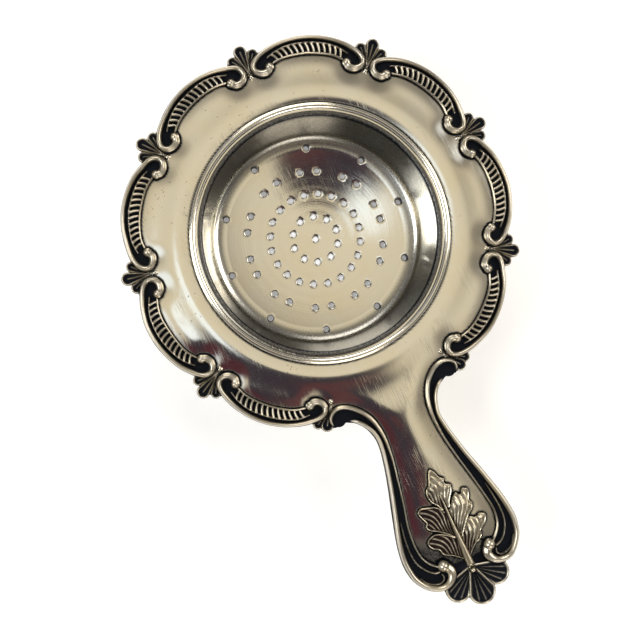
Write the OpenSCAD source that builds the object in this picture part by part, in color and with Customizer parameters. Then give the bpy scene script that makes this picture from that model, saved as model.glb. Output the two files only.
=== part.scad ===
// Over-the-cup tea strainer with an applied scroll border.
// A stamped plate with handle carries a pierced bowl, a bead ring and soldered mounts.
// Frame: the bowl's axis is Z, its foot stands on z = 0, and the handle points along +X.

/* [Plate] */
// Thickness of the stamped plate and handle
plate_t = 1.0; // [0.8:0.1:1.3]
// Radius of the round part of the plate, under the border
plate_r = 40.6; // [40:0.1:41]
// Rise of the crowned flange and of the handle's field above the border's seat
crown_h = 0.8; // [0.4:0.1:1.0]

/* [Bowl] */
// Height of the plate's underside above the bowl's foot
bowl_h = 15.4; // [12:0.2:20]
// Radius of the plate's opening, which the bowl drops through
opening_r = 28.0; // [27.8:0.1:28.2]
// Thickness of the drawn bowl
bowl_t = 0.8; // [0.6:0.1:1.0]
// Outer radius of the curve between the bowl's floor and wall
bowl_fillet = 3.8; // [3:0.1:4.5]
// Diameter of each straining hole
hole_d = 1.4; // [1.0:0.1:1.6]
// Step in radius from one ring of holes to the next
hole_step = 5.6; // [5.2:0.1:5.7]

/* [Bead ring] */
// Outer radius of the half-round ring round the bowl
ring_r = 30.3; // [30:0.1:30.6]
// Height of the ring above the plate
ring_h = 1.15; // [0.8:0.05:1.4]

/* [Border] */
// Angle that the neck of the handle takes out of the border
handle_gap = 42.5; // [42:0.1:43]
// Height of the scroll rails above the plate
rail_h = 1.7; // [1.2:0.1:2.2]
// Height of the scroll heads above the plate
head_h = 2.1; // [1.6:0.1:2.6]
// Height of the recessed ground behind the rails
ground_h = 0.6; // [0.4:0.1:0.8]
// Number of flutes in one scroll
flutes = 13; // [9:2:15]
// Radius of each small bead between the scrolls
bead_r = 0.72; // [0.5:0.02:0.75]

/* [Handle] */
// Height of the handle's scroll rails above the plate
handle_rail_h = 1.8; // [1.4:0.1:2.2]
// Height of the leaf's surface above the plate
leaf_h = 1.1; // [0.8:0.1:1.6]

/* [Hidden] */
scrolls = 8;
pitch = (360 - handle_gap) / scrolls;
top_z = bowl_h + plate_t;      // seat of the ring and of every mount
seam = 0.05;                   // solder seam between neighbouring mounts
bead_circle = 39.0;            // radius at which the beads sit
round_fn = 96;
small_fn = 32;
silver = [0.80, 0.77, 0.68];
dark_silver = [0.32, 0.32, 0.31];

// ---- Curves -------------------------------------------------------------

// Point at u on the smooth curve through p, which may carry a width as a third number
function curve_at(p, u) =
    let(i = min(floor(u), len(p) - 2), t = u - i,
        a = p[max(i - 1, 0)], b = p[i], c = p[i + 1], d = p[min(i + 2, len(p) - 1)])
    0.5 * (2 * b + (c - a) * t + (2 * a - 5 * b + 4 * c - d) * t * t
           + (3 * b - a - 3 * c + d) * t * t * t);

function curve(p, n) = [for (i = [0 : n * (len(p) - 1)]) curve_at(p, i / n)];

function backwards(p) = [for (i = [len(p) - 1 : -1 : 0]) p[i]];

// A half curve that starts on the Y axis, made whole by its mirror image
function both_ways(p) =
    concat([for (i = [len(p) - 1 : -1 : 1]) [-p[i].x, p[i].y, p[i].z]], p);

function heading(p, i) =
    let(a = p[max(i - 1, 0)], b = p[min(i + 1, len(p) - 1)], d = [b.x - a.x, b.y - a.y])
    d / norm(d);

// One edge of a stroke: side is 1 for its left and -1 for its right
function edge(p, side, grow = 0) =
    [for (i = [0 : len(p) - 1]) let(h = heading(p, i), w = side * (p[i].z + grow))
        [p[i].x - h.y * w, p[i].y + h.x * w]];

function arc(x, y, r, from, to, n) =
    [for (i = [0 : n]) let(a = from + (to - from) * i / n) [x + r * cos(a), y + r * sin(a)]];

module stroke(p, grow = 0) {
    polygon(concat(edge(p, 1, grow), backwards(edge(p, -1, grow))));
}

module spot(x, y, r) {
    translate([x, y]) circle(r = r, $fn = small_fn);
}

// ---- Outlines of the border, with the lobe's middle on the Y axis ----------

// Outer rail: x, y and half width, from the middle of the lobe to the scroll's head
outer_rail = both_ways([
    [0, 45.4, 0.42], [4, 44.95, 0.44], [7.5, 43.85, 0.48], [10.2, 42.35, 0.55],
    [12.1, 40.75, 0.64], [12.75, 39.2, 0.70], [12.15, 37.9, 0.78], [10.8, 37.3, 0.88],
    [9.5, 37.75, 1.0], [9.0, 38.75, 1.05]
]);
flute_rail = both_ways([[0, 44.1, 0.22], [4, 43.65, 0.22], [7, 42.6, 0.22], [9.2, 41.1, 0.24]]);
inner_rail = both_ways([[0, 41.5, 0.28], [3.5, 41.25, 0.28], [6, 40.65, 0.28], [8, 39.7, 0.30]]);
rail_steps = 4;
scroll_head = [8.95, 38.9, 1.12];
scroll_eye = [10.6, 39.55, 2.0];
silhouette_end = 5;            // control points from the middle to the widest place

function rail_middle(p) = [for (q = curve(p, rail_steps)) [q.x, q.y]];

module lobe_edge(grow = 0) {
    half = (len(outer_rail) - 1) / 2;
    silhouette = [for (i = [half - silhouette_end : half + silhouette_end]) outer_rail[i]];
    polygon(concat([[-9, 36], [9, 36]], backwards(edge(curve(silhouette, rail_steps), 1, grow))));
}

module scroll_outline(grow = 0) {
    stroke(curve(outer_rail, rail_steps), grow);
    for (s = [-1, 1]) {
        spot(s * scroll_head[0], scroll_head[1], scroll_head[2] + grow);
        spot(s * scroll_eye[0], scroll_eye[1], scroll_eye[2]);
    }
    scroll_ground();
}

// The recessed ground between the outer and the inner rail
module scroll_ground() {
    half = (len(outer_rail) - 1) / 2;
    arch = [for (i = [half - 4 : half + 4]) outer_rail[i]];
    polygon(concat(rail_middle(arch), backwards(rail_middle(inner_rail))));
    stroke(curve(inner_rail, rail_steps));
}

module scroll_mount() {
    linear_extrude(ground_h) scroll_outline();
    linear_extrude(rail_h) stroke(curve(outer_rail, rail_steps));
    for (s = [-1, 1])
        translate([s * scroll_head[0], scroll_head[1]])
            cylinder(h = head_h, r = scroll_head[2], $fn = small_fn);
    linear_extrude(rail_h * 0.8) stroke(curve(flute_rail, rail_steps));
    linear_extrude(rail_h * 0.85) stroke(curve(inner_rail, rail_steps));
    last = len(flute_rail) - 1;
    for (i = [1 : flutes]) {
        u = i / (flutes + 1);
        a = curve_at(flute_rail, u * last);
        b = curve_at(inner_rail, (0.06 + 0.88 * u) * last);
        linear_extrude(rail_h * 0.65) stroke([[a.x, a.y, 0.2], [b.x, b.y, 0.2]]);
    }
}

// One leaflet of a shell: a wedge that widens from the root to a round tip
module leaflet(root, turn, length, r) {
    translate([0, root]) rotate(turn) {
        polygon([[-0.4, 0], [0.4, 0], [r, length], [-r, length]]);
        translate([0, length]) circle(r = r, $fn = small_fn);
    }
}

shell_root = 40.2;
middle_leaflet = [5.1, 1.55];
side_leaflet = [4.45, 1.25];
side_turn = 34;
neck_leaflets = [[14, 4.3, 1.5], [40, 4.8, 1.3]];      // turn, length and tip radius
rim_w = 0.32;                                          // width of a leaflet's raised rim
rim_up = 0.5;                                          // rise of the rim above the ground

// Turns a leaflet into its raised rim
module leaflet_rim(root, turn, length, r) {
    difference() {
        leaflet(root, turn, length, r);
        leaflet(root, turn, length, r - rim_w);
    }
}

module middle_leaf(r_less = 0) {
    leaflet(shell_root, 0, middle_leaflet[0], middle_leaflet[1] - r_less);
}

module shell_outline() {
    middle_leaf();
    for (s = [-1, 1]) leaflet(shell_root, s * side_turn, side_leaflet[0], side_leaflet[1]);
}

module shell_rims() {
    leaflet_rim(shell_root, 0, middle_leaflet[0], middle_leaflet[1]);
    difference() {
        for (s = [-1, 1])
            leaflet_rim(shell_root, s * side_turn, side_leaflet[0], side_leaflet[1]);
        middle_leaf();
    }
}

// side is 1 where the neighbouring scroll lies to the left of the junction
module neck_shell_outline(side) {
    for (l = neck_leaflets) leaflet(shell_root, side * l[0], l[1], l[2]);
}

module neck_shell_rim(side) {
    for (l = neck_leaflets) leaflet_rim(shell_root, side * l[0], l[1], l[2]);
}

// ---- Outlines of the handle, upper half -----------------------------------

handle_edge = [
    [38.0, 16.3], [40.4, 16.55], [42.2, 15.7], [42.65, 14.2], [42.2, 12.6], [42.9, 10.9],
    [44.6, 9.35], [47, 8.35], [50, 8.0], [54, 8.6], [60, 10.0], [66, 11.75], [72, 13.4],
    [76, 14.2], [79, 14.4], [82, 13.85], [84.8, 12.3], [86.8, 9.7], [87.35, 7.4], [86.6, 5.2],
    [85, 3.8]
];
handle_outer_rail = [
    [42.1, 12.3, 0.35], [42.95, 10.5, 0.46], [44.8, 8.9, 0.5], [47.2, 7.9, 0.5], [50, 7.55, 0.5],
    [54, 8.1, 0.5], [60, 9.5, 0.52], [66, 11.2, 0.55], [72, 12.85, 0.58], [76, 13.6, 0.6],
    [79, 13.75, 0.62], [82, 13.15, 0.65], [84.5, 11.6, 0.68], [86.1, 9.5, 0.72],
    [86.5, 7.3, 0.8], [85.6, 5.5, 0.95], [83.8, 4.75, 1.1], [82.2, 5.5, 1.2]
];
handle_inner_rail = [
    [42.0, 15.4, 0.3], [41.2, 15.85, 0.4], [39.9, 15.75, 0.5], [38.8, 14.7, 0.55],
    [38.5, 13.0, 0.58], [39.3, 10.9, 0.6], [41.3, 8.7, 0.6], [43.8, 7.2, 0.58], [46.6, 6.4, 0.5],
    [50, 6.2, 0.42], [55, 6.6, 0.32], [60, 7.5, 0.27], [65, 8.6, 0.25], [70, 9.7, 0.24],
    [74.5, 10.25, 0.24], [78, 9.8, 0.24], [80.2, 8.6, 0.26], [81.6, 7.1, 0.3]
];
volute_head = [81.95, 5.95, 1.5];
volute_eye = [84.3, 8.3, 2.5];
hook_eye = [40.75, 14.1, 1.85];
handle_steps = 3;

module handle_edge_half() {
    polygon(concat([[30, 0], [30, 15]], curve(handle_edge, handle_steps), [[85, -0.01]]));
}

module mirrored() {
    children();
    mirror([0, 1, 0]) children();
}

// The ground between the handle's two rails
module handle_ground() {
    outer = curve(handle_outer_rail, handle_steps);
    inner = curve(handle_inner_rail, handle_steps);
    outer_last = len(outer) - 1 - 4 * handle_steps;
    polygon(concat([for (i = [0 : outer_last]) [outer[i].x, outer[i].y]],
                   [for (i = [len(inner) - 1 : -1 : 3 * handle_steps]) [inner[i].x, inner[i].y]]));
    spot(volute_eye[0], volute_eye[1], volute_eye[2]);
    spot(hook_eye[0], hook_eye[1], hook_eye[2]);
}

module handle_scroll_outline(grow = 0) {
    stroke(curve(handle_outer_rail, handle_steps), grow);
    stroke(curve(handle_inner_rail, handle_steps), grow);
    spot(volute_head[0], volute_head[1], volute_head[2] + grow);
    handle_ground();
}

module handle_scroll_mount() {
    linear_extrude(ground_h) handle_scroll_outline();
    linear_extrude(handle_rail_h) stroke(curve(handle_outer_rail, handle_steps));
    linear_extrude(handle_rail_h * 0.85) stroke(curve(handle_inner_rail, handle_steps));
    translate([volute_head[0], volute_head[1]])
        cylinder(h = handle_rail_h + 0.4, r = volute_head[2], $fn = small_fn);
}

// Outlines of the leaf's five clusters, from root to root
leaf_clusters = [
    [[70, -1.0], [68.6, -1.6], [67.2, -2.6], [65.5, -2.9], [64.1, -2.4], [63.4, -1.5], [61.5, -0.7],
     [60.1, 0.2], [61.2, 1.1], [62.4, 1.5], [63.3, 2.4], [64.4, 2.2], [65.3, 3.3], [66.9, 2.9],
     [68.5, 1.7], [70, 1.0]],
    [[70.4, 0.7], [69.3, 1.6], [68.0, 2.5], [67.5, 3.6], [68.3, 4.4], [67.3, 5.3], [67.6, 6.4],
     [68.8, 6.6], [70.4, 5.9], [71.5, 6.2], [72.7, 5.6], [73.6, 4.3], [75.5, 2.6], [77.5, 0.9]],
    [[76.4, 0.9], [75.9, 2.3], [74.5, 3.3], [73.9, 4.4], [74.6, 5.5], [74.2, 6.8], [75.0, 8.0],
     [76.2, 7.7], [77.2, 6.8], [78.0, 5.6], [79.1, 5.4], [80.0, 4.6], [80.4, 3.4], [81.4, 2.0],
     [82.4, 0.9]],
    [[70.4, -0.6], [69.3, -1.2], [68.4, -2.3], [67.9, -3.8], [67.5, -5.5], [68.4, -6.5],
     [69.9, -6.1], [71.2, -5.6], [72.1, -6.1], [73.2, -5.5], [74.1, -4.0], [75.4, -2.4], [77, -0.8]],
    [[76.8, -0.8], [75.8, -1.9], [74.9, -3.2], [74.3, -4.9], [74.8, -6.6], [76.0, -7.3],
     [77.4, -6.6], [78.2, -5.4], [79.5, -5.0], [80.3, -4.0], [81.1, -2.6], [82.6, -0.9]]
];
// Veins from the stem to the leaf's points: start x, start y, end x, end y
leaf_veins = [
    [68.6, 0.6, 62.6, 0.4], [69.6, 0.7, 65.6, 2.4], [69.4, -0.7, 65.6, -2.1],
    [75.6, 0.9, 68.6, 5.4], [74.6, 0.9, 69.0, 3.1], [76.6, 1.0, 72.0, 5.0],
    [81.0, 1.1, 75.5, 6.7], [80.2, 1.1, 75.2, 4.2], [81.8, 1.1, 79.2, 4.4],
    [75.4, -0.9, 68.7, -5.4], [74.2, -0.8, 69.4, -3.2], [76.6, -1.0, 72.3, -5.0],
    [81.2, -1.1, 75.9, -6.2], [80.2, -1.1, 75.5, -4.0], [82.0, -1.1, 79.5, -4.0]
];
vein_w = 0.16;                 // half width of a vein
vein_up = 0.25;                // rise of a vein above the leaf
stem = [[66.6, 0, 0.28], [72, 0, 0.38], [78, 0, 0.52], [82, 0, 0.68], [83.8, 0, 0.72]];
tip_bead_at = [85.6, 0];

module stem_outline(grow = 0) {
    line = curve(stem, 4);
    tip = stem[len(stem) - 1];
    polygon(concat(edge(line, -1, grow), arc(tip.x, 0, tip.z + grow, -75, 75, 6),
                   backwards(edge(line, 1, grow))));
}

module leaf_outline() {
    difference() {
        union() {
            for (c = leaf_clusters) polygon(curve(c, 3));
            polygon([[65.5, 0.8], [65.5, -0.8], [82.3, -1.3], [82.3, 1.3]]);
        }
        stem_outline(seam);
    }
}

module leaf_vein_lines() {
    difference() {
        for (v = leaf_veins) stroke([[v[0], v[1], vein_w * 1.4], [v[2], v[3], vein_w]]);
        stem_outline(seam);
    }
}

// Fan at the handle's end: turn, length and tip radius of each leaflet
tip_root_x = 85.2;
tip_leaflets = [[0, 6.0, 3.3], [55, 6.0, 3.1], [-55, 6.0, 3.1]];
tip_rim = 0.55;
tip_flute_turns = [-20, -7, 7, 20];
tip_flute = [2.4, 7.2, 0.16];          // start, end and half width of a flute

module tip_leaflet(l, less = 0) {
    translate([tip_root_x, 0]) rotate(l[0]) {
        polygon([[0, 0.8], [0, -0.8], [l[1], less - l[2]], [l[1], l[2] - less]]);
        translate([l[1], 0]) circle(r = l[2] - less, $fn = small_fn);
    }
}

module tip_shell_outline() {
    for (l = tip_leaflets) tip_leaflet(l);
}

module tip_shell_relief() {
    difference() {
        tip_leaflet(tip_leaflets[0]);
        tip_leaflet(tip_leaflets[0], tip_rim);
    }
    for (i = [1, 2]) difference() {
        tip_leaflet(tip_leaflets[i]);
        tip_leaflet(tip_leaflets[i], tip_rim);
        tip_leaflet(tip_leaflets[0]);
    }
    for (l = tip_leaflets, a = tip_flute_turns)
        translate([tip_root_x, 0]) rotate(l[0] + a)
            stroke([[tip_flute[0], 0, tip_flute[2]], [tip_flute[1], 0, tip_flute[2]]]);
}

// ---- Sub-parts --------------------------------------------------------------

// Turns a shape drawn with its middle on +Y so that it lies at this angle from +X
module at_angle(a) {
    rotate(a - 90) children();
}

function scroll_angle(i) = handle_gap / 2 + pitch * (i - 0.5);

function junction_angle(i) = handle_gap / 2 + pitch * i;

module plate_outline() {
    inset = -0.12;
    difference() {
        union() {
            circle(r = plate_r, $fn = round_fn);
            for (i = [1 : scrolls]) at_angle(scroll_angle(i)) lobe_edge(inset);
            for (i = [1 : scrolls - 1]) at_angle(junction_angle(i)) shell_outline();
            at_angle(junction_angle(0)) neck_shell_outline(1);
            at_angle(junction_angle(scrolls)) neck_shell_outline(-1);
            mirrored() handle_edge_half();
            mirrored() handle_scroll_outline(-0.1);
            tip_shell_outline();
            translate([84, -4.4]) square([3, 8.8]);
        }
        circle(r = opening_r, $fn = round_fn);
    }
}

crown_top_r = 32.0;            // the flange is highest here and falls to the border
crown_out_r = 37.4;
field_half_w = 9.2;            // the handle's field is a slice of a cylinder along X
field_edge = [
    [30, 16], [34, 13.5], [37.5, 10.0], [40, 7.8], [43, 6.0], [46, 5.3], [50, 5.2], [55, 5.7],
    [60, 6.6], [65, 7.8], [70, 8.9], [75, 9.4], [78, 8.7], [79.8, 7.2], [80.4, 5.2], [80.9, 3.2],
    [82.2, 1.6]
];

// Section of the flange's crown, from the bead ring to the border
module crown_section() {
    from = ring_r + seam;
    fall = crown_out_r - crown_top_r;
    r = (fall * fall + crown_h * crown_h) / (2 * crown_h);
    polygon(concat([[from, 0], [from, crown_h * 0.85]],
                   arc(crown_top_r, crown_h - r, r, 90, 90 - asin(fall / r), 8)));
}

// The handle's raised field, which the leaf and its stem are soldered to
module handle_field() {
    r = (field_half_w * field_half_w + crown_h * crown_h) / (2 * crown_h);
    half = curve(field_edge, 2);
    intersection() {
        linear_extrude(crown_h) polygon(concat(half, [for (p = backwards(half)) [p.x, -p.y]]));
        translate([20, 0, crown_h - r]) rotate([0, 90, 0]) cylinder(h = 70, r = r, $fn = round_fn * 2);
        difference() {
            cylinder(h = 100, r = 90, center = true, $fn = round_fn);
            cylinder(h = 102, r = ring_r + seam, center = true, $fn = round_fn);
        }
    }
}

module plate() {
    color(silver) translate([0, 0, bowl_h]) {
        linear_extrude(plate_t) plate_outline();
        translate([0, 0, plate_t]) {
            rotate_extrude($fn = round_fn) crown_section();
            handle_field();
        }
    }
}

foot_r = opening_r - bowl_fillet - 1.9;      // flat foot that the strainer stands on
wall_lean = 8.8;                             // lean of the bowl's wall from the vertical
fillet_steps = 8;

module bowl_section() {
    seat = bowl_h + plate_t;
    inner = bowl_fillet - bowl_t;
    neck = opening_r - seam;
    polygon(concat(
        [[0, 0]], arc(foot_r, bowl_fillet, bowl_fillet, -90, -wall_lean, fillet_steps),
        [[neck, bowl_h], [neck, seat], [28.6, seat], [28.6, seat + 0.5]],
        arc(neck - 0.35, seat + 0.05, 0.45, 90, 180, 4), [[neck - bowl_t, bowl_h]],
        arc(foot_r, bowl_fillet, inner, -wall_lean, -90, fillet_steps), [[0, bowl_t]]));
}

// Angles of the holes in each ring, from the handle: single rings and one ring of pairs
hole_rings = [
    [1, [for (i = [0 : 9]) 18 + 36 * i]],
    [2, [for (i = [0 : 19]) 9 + 18 * i]],
    [3, [for (i = [0 : 9], s = [-7, 7]) 18 + 36 * i + s]],
    [4, [for (i = [0 : 9]) 18 + 36 * i]]
];

module straining_hole() {
    translate([0, 0, -1]) cylinder(h = 4, d = hole_d, $fn = small_fn);
}

module pierced_bowl() {
    color(silver) difference() {
        rotate_extrude($fn = round_fn) bowl_section();
        straining_hole();
        for (ring = hole_rings, a = ring[1])
            rotate(a) translate([ring[0] * hole_step, 0, 0]) straining_hole();
    }
}

module bowl_bead_ring() {
    inner = 28.65;
    half = (ring_r - inner) / 2;
    color(silver) translate([0, 0, top_z]) rotate_extrude($fn = round_fn)
        polygon([for (p = arc(0, 0, 1, 0, 180, 12)) [inner + half + half * p.x, ring_h * p.y]]);
}

module border_scroll(i) {
    color(silver) translate([0, 0, top_z]) at_angle(scroll_angle(i)) scroll_mount();
}

// What a shell has to leave free: the scrolls on either side of it
module beside_shell(i) {
    for (k = [i, i + 1])
        if (k >= 1 && k <= scrolls)
            rotate(scroll_angle(k) - junction_angle(i)) scroll_outline(seam);
}

module border_shell(i) {
    color(dark_silver) translate([0, 0, top_z]) at_angle(junction_angle(i)) {
        linear_extrude(ground_h) difference() {
            shell_outline();
            beside_shell(i);
        }
        linear_extrude(ground_h + rim_up) difference() {
            shell_rims();
            beside_shell(i);
        }
    }
}

// side is 1 for the shell on the +Y side of the neck and -1 for its mirror image
module beside_neck_shell(side) {
    beside_shell(side > 0 ? 0 : scrolls);
    rotate(90 - side * handle_gap / 2) mirror([0, side > 0 ? 0 : 1, 0]) handle_scroll_outline(seam);
}

module neck_shell(side) {
    color(dark_silver) translate([0, 0, top_z]) at_angle(side * handle_gap / 2) {
        linear_extrude(ground_h) difference() {
            neck_shell_outline(side);
            beside_neck_shell(side);
        }
        linear_extrude(ground_h + rim_up) difference() {
            neck_shell_rim(side);
            beside_neck_shell(side);
        }
    }
}

module border_beads() {
    color(silver) for (i = [0 : scrolls]) rotate(junction_angle(i))
        translate([bead_circle, 0, top_z]) intersection() {
            sphere(r = bead_r, $fn = small_fn);
            translate([-1, -1, 0]) cube([2, 2, 2]);
        }
}

module handle_scroll(side) {
    color(silver) translate([0, 0, top_z]) mirror([0, side > 0 ? 0 : 1, 0]) handle_scroll_mount();
}

module acanthus_leaf() {
    color(silver) translate([0, 0, top_z]) difference() {
        union() {
            linear_extrude(crown_h + leaf_h) leaf_outline();
            linear_extrude(crown_h + leaf_h + vein_up) leaf_vein_lines();
        }
        handle_field();
    }
}

module leaf_stem() {
    color(silver) translate([0, 0, top_z]) difference() {
        linear_extrude(crown_h + leaf_h + 0.5) stem_outline();
        handle_field();
    }
}

module tip_bead() {
    color(silver) translate([tip_bead_at.x, 0, top_z]) cylinder(h = 1.5, r = bead_r, $fn = small_fn);
}

module beside_tip_shell() {
    mirrored() handle_scroll_outline(seam);
    spot(tip_bead_at.x, 0, bead_r + seam);
    stem_outline(seam);
}

module tip_shell() {
    color(dark_silver) translate([0, 0, top_z]) {
        linear_extrude(ground_h) difference() {
            tip_shell_outline();
            beside_tip_shell();
        }
        linear_extrude(ground_h * 2) difference() {
            tip_shell_relief();
            beside_tip_shell();
        }
    }
}

plate();
pierced_bowl();
bowl_bead_ring();
for (i = [1 : scrolls])
    border_scroll(i);
for (i = [1 : scrolls - 1])
    border_shell(i);
neck_shell(1);  // neck_shell_left
neck_shell(-1);  // neck_shell_right
border_beads();
handle_scroll(1);  // handle_scroll_left
handle_scroll(-1);  // handle_scroll_right
acanthus_leaf();
leaf_stem();
tip_bead();
tip_shell();
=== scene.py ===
"""Looks of the over-the-cup tea strainer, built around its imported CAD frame.

Lengths are millimetres in the CAD's frame until a mesh is made. The floor, the lights and
the camera are set out in metres.
"""

import math

import bpy
import numpy as np
from mathutils import Matrix, Vector, geometry


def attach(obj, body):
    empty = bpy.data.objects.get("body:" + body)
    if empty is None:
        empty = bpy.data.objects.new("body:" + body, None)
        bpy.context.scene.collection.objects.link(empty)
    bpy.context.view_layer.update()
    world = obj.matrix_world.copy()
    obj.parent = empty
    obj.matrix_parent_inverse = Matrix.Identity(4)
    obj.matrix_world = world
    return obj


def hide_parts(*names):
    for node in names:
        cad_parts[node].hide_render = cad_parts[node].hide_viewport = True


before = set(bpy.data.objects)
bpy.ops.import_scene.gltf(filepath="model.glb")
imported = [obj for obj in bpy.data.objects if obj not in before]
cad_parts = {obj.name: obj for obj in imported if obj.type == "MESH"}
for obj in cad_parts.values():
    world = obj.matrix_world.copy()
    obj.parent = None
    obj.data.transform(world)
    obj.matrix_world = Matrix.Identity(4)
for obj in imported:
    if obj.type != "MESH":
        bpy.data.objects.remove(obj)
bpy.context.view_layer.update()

MM = 0.001
BOWL_H = 15.4                 # the plate's underside above the bowl's foot
PLATE_T = 1.0
TOP_Z = BOWL_H + PLATE_T      # seat of the ring and of every mount
CROWN_H = 0.8
OPENING_R = 28.0
RING_IN, RING_OUT, RING_H = 28.65, 30.3, 1.15
HANDLE_GAP = 42.5
SCROLLS = 8
PITCH = (360 - HANDLE_GAP) / SCROLLS
SEAM = 0.05
FINE = 0.11                   # grid step of the cast mounts
SHELL_STEP = 0.09             # and of the small shells
FAR = 1e9                     # a gap before anything has been measured


# ---- Curves and distances ----

def spline(points, steps=6):
    """Smooth curve through rows of x, y and half width."""
    p = np.asarray(points, float)
    p = np.vstack([p[:1], p, p[-1:]])
    t = np.linspace(0, 1, steps, endpoint=False)[:, None]
    out = []
    for a, b, c, d in zip(p[:-3], p[1:-2], p[2:-1], p[3:]):
        out.append(0.5 * (2 * b + (c - a) * t + (2 * a - 5 * b + 4 * c - d) * t ** 2
                          + (3 * b - a - 3 * c + d) * t ** 3))
    return np.vstack(out + [p[-2:-1]])


def both_ways(points):
    """A half curve from the Y axis, made whole by its mirror image."""
    left = [[-row[0], *row[1:]] for row in points[:0:-1]]
    return left + [list(row) for row in points]


def along(path, xy):
    """Gap to the stroke's edge, distance from its middle as a share of its half width
    (negative on its right), half width, and length along it."""
    gap = np.full(len(xy), FAR)
    share, width, run = np.zeros(len(xy)), np.ones(len(xy)), np.zeros(len(xy))
    done = 0.0
    for a, b in zip(path[:-1], path[1:]):
        step = b[:2] - a[:2]
        size = math.hypot(*step)
        if size < 1e-6:
            continue
        rel = xy - a[:2]
        t = np.clip(rel @ step / size ** 2, 0, 1)
        off = rel - t[:, None] * step
        dist = np.hypot(*off.T)
        w = a[2] + (b[2] - a[2]) * t
        near = dist - w < gap
        side = np.sign(step[0] * rel[:, 1] - step[1] * rel[:, 0])
        gap = np.where(near, dist - w, gap)
        share = np.where(near, side * dist / w, share)
        width = np.where(near, w, width)
        run = np.where(near, done + t * size, run)
        done += size
    return gap, share, width, run


def inside(loop, xy):
    """True for the points inside a closed loop."""
    x, y = xy[:, 0], xy[:, 1]
    hit = np.zeros(len(xy), bool)
    for a, b in zip(loop, np.roll(loop, -1, axis=0)):
        if a[1] == b[1]:
            continue
        cross = (a[1] > y) != (b[1] > y)
        hit ^= cross & (x < (b[0] - a[0]) * (y - a[1]) / (b[1] - a[1]) + a[0])
    return hit


def loop_gap(loop, xy):
    """Distance to a closed loop, negative inside it."""
    path = np.column_stack([np.vstack([loop, loop[:1]]), np.zeros(len(loop) + 1)])
    dist = along(path, xy)[0]
    return np.where(inside(loop, xy), -dist, dist)


def blank(xy, *values):
    """One evenly filled array for each value."""
    return [np.full(len(xy), value) for value in values]


def smooth(lo, hi, v):
    t = np.clip((v - lo) / (hi - lo), 0, 1)
    return t * t * (3 - 2 * t)


def soft_max(a, b, k=0.12):
    h = np.clip(0.5 + 0.5 * (a - b) / k, 0, 1)
    return a * h + b * (1 - h) + k * h * (1 - h)


def dome(share, power=0.62):
    """Round section of a rail or head: 1 in the middle, 0 at its edges."""
    return np.clip(1 - share ** 2, 0, 1) ** power


def bell(v):
    return np.exp(-v ** 2)


def spot(x, y, r, xy):
    return np.hypot(xy[:, 0] - x, xy[:, 1] - y) - r


def turned(xy, angle):
    """Points seen from a frame whose +Y lies at this angle from +X."""
    a = math.radians(angle - 90)
    c, s = math.cos(a), math.sin(a)
    return np.column_stack([c * xy[:, 0] + s * xy[:, 1], -s * xy[:, 0] + c * xy[:, 1]])


def jitter(points, seed, size):
    """Small free-hand shifts, so that no two castings are the same."""
    rng = np.random.RandomState(seed)
    p = np.asarray(points, float).copy()
    p[:, :2] += rng.normal(0, size, (len(p), 2))
    return p


def scroll_angle(i):
    return HANDLE_GAP / 2 + PITCH * (i - 0.5)


def junction_angle(i):
    return HANDLE_GAP / 2 + PITCH * i


# ---- Border scroll, with the lobe's middle on the Y axis ----

OUTER = both_ways([
    [0, 45.26, 0.58], [4, 44.81, 0.59], [7.45, 43.72, 0.63], [10.1, 42.25, 0.70],
    [11.98, 40.7, 0.78], [12.63, 39.2, 0.82], [12.1, 37.98, 0.88], [10.8, 37.42, 0.98],
    [9.5, 37.8, 1.06], [9.0, 38.75, 1.10]])
FLUTE = both_ways([[0, 43.98, 0.24], [4, 43.53, 0.24], [7, 42.5, 0.24], [9.3, 40.9, 0.26]])
INNER = both_ways([[0, 41.5, 0.30], [3.5, 41.25, 0.30], [6, 40.65, 0.30], [8, 39.7, 0.32]])
HEAD = (8.95, 38.85, 1.24)
EYE = (10.6, 39.55, 2.0)
BAR_PITCH, BAR_W, BAR_LEAN, BAR_BOW = 1.33, 0.42, 0.75, 0.16
BAR_ARC_R, BAR_ARC_Y = 17.0, 26.0     # the circle along which the bars are spaced
RAIL_H, FLUTE_H, INNER_H, HEAD_H, GROUND_H = 1.62, 1.28, 1.38, 2.08, 0.30
JITTER = 0.045


def scroll_parts(seed=None):
    rows = [OUTER, FLUTE, INNER]
    if seed is not None:
        rows = [jitter(r, seed + n, JITTER) for n, r in enumerate(rows)]
    outer, flute, inner = [spline(r) for r in rows]
    arch = outer[30:-30]
    return {"outer": outer, "flute": flute, "inner": inner,
            "band": np.vstack([arch[:, :2], inner[::-1, :2]]),
            "ladder": np.vstack([flute[:, :2], inner[::-1, :2]])}


def scroll_gap(parts, xy):
    gap = np.minimum(along(parts["outer"], xy)[0], along(parts["inner"], xy)[0])
    for s in (-1, 1):
        gap = np.minimum(gap, spot(s * HEAD[0], HEAD[1], HEAD[2], xy))
        gap = np.minimum(gap, spot(s * EYE[0], EYE[1], EYE[2], xy))
    return np.where(inside(parts["band"], xy), np.minimum(gap, -0.3), gap)


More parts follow.
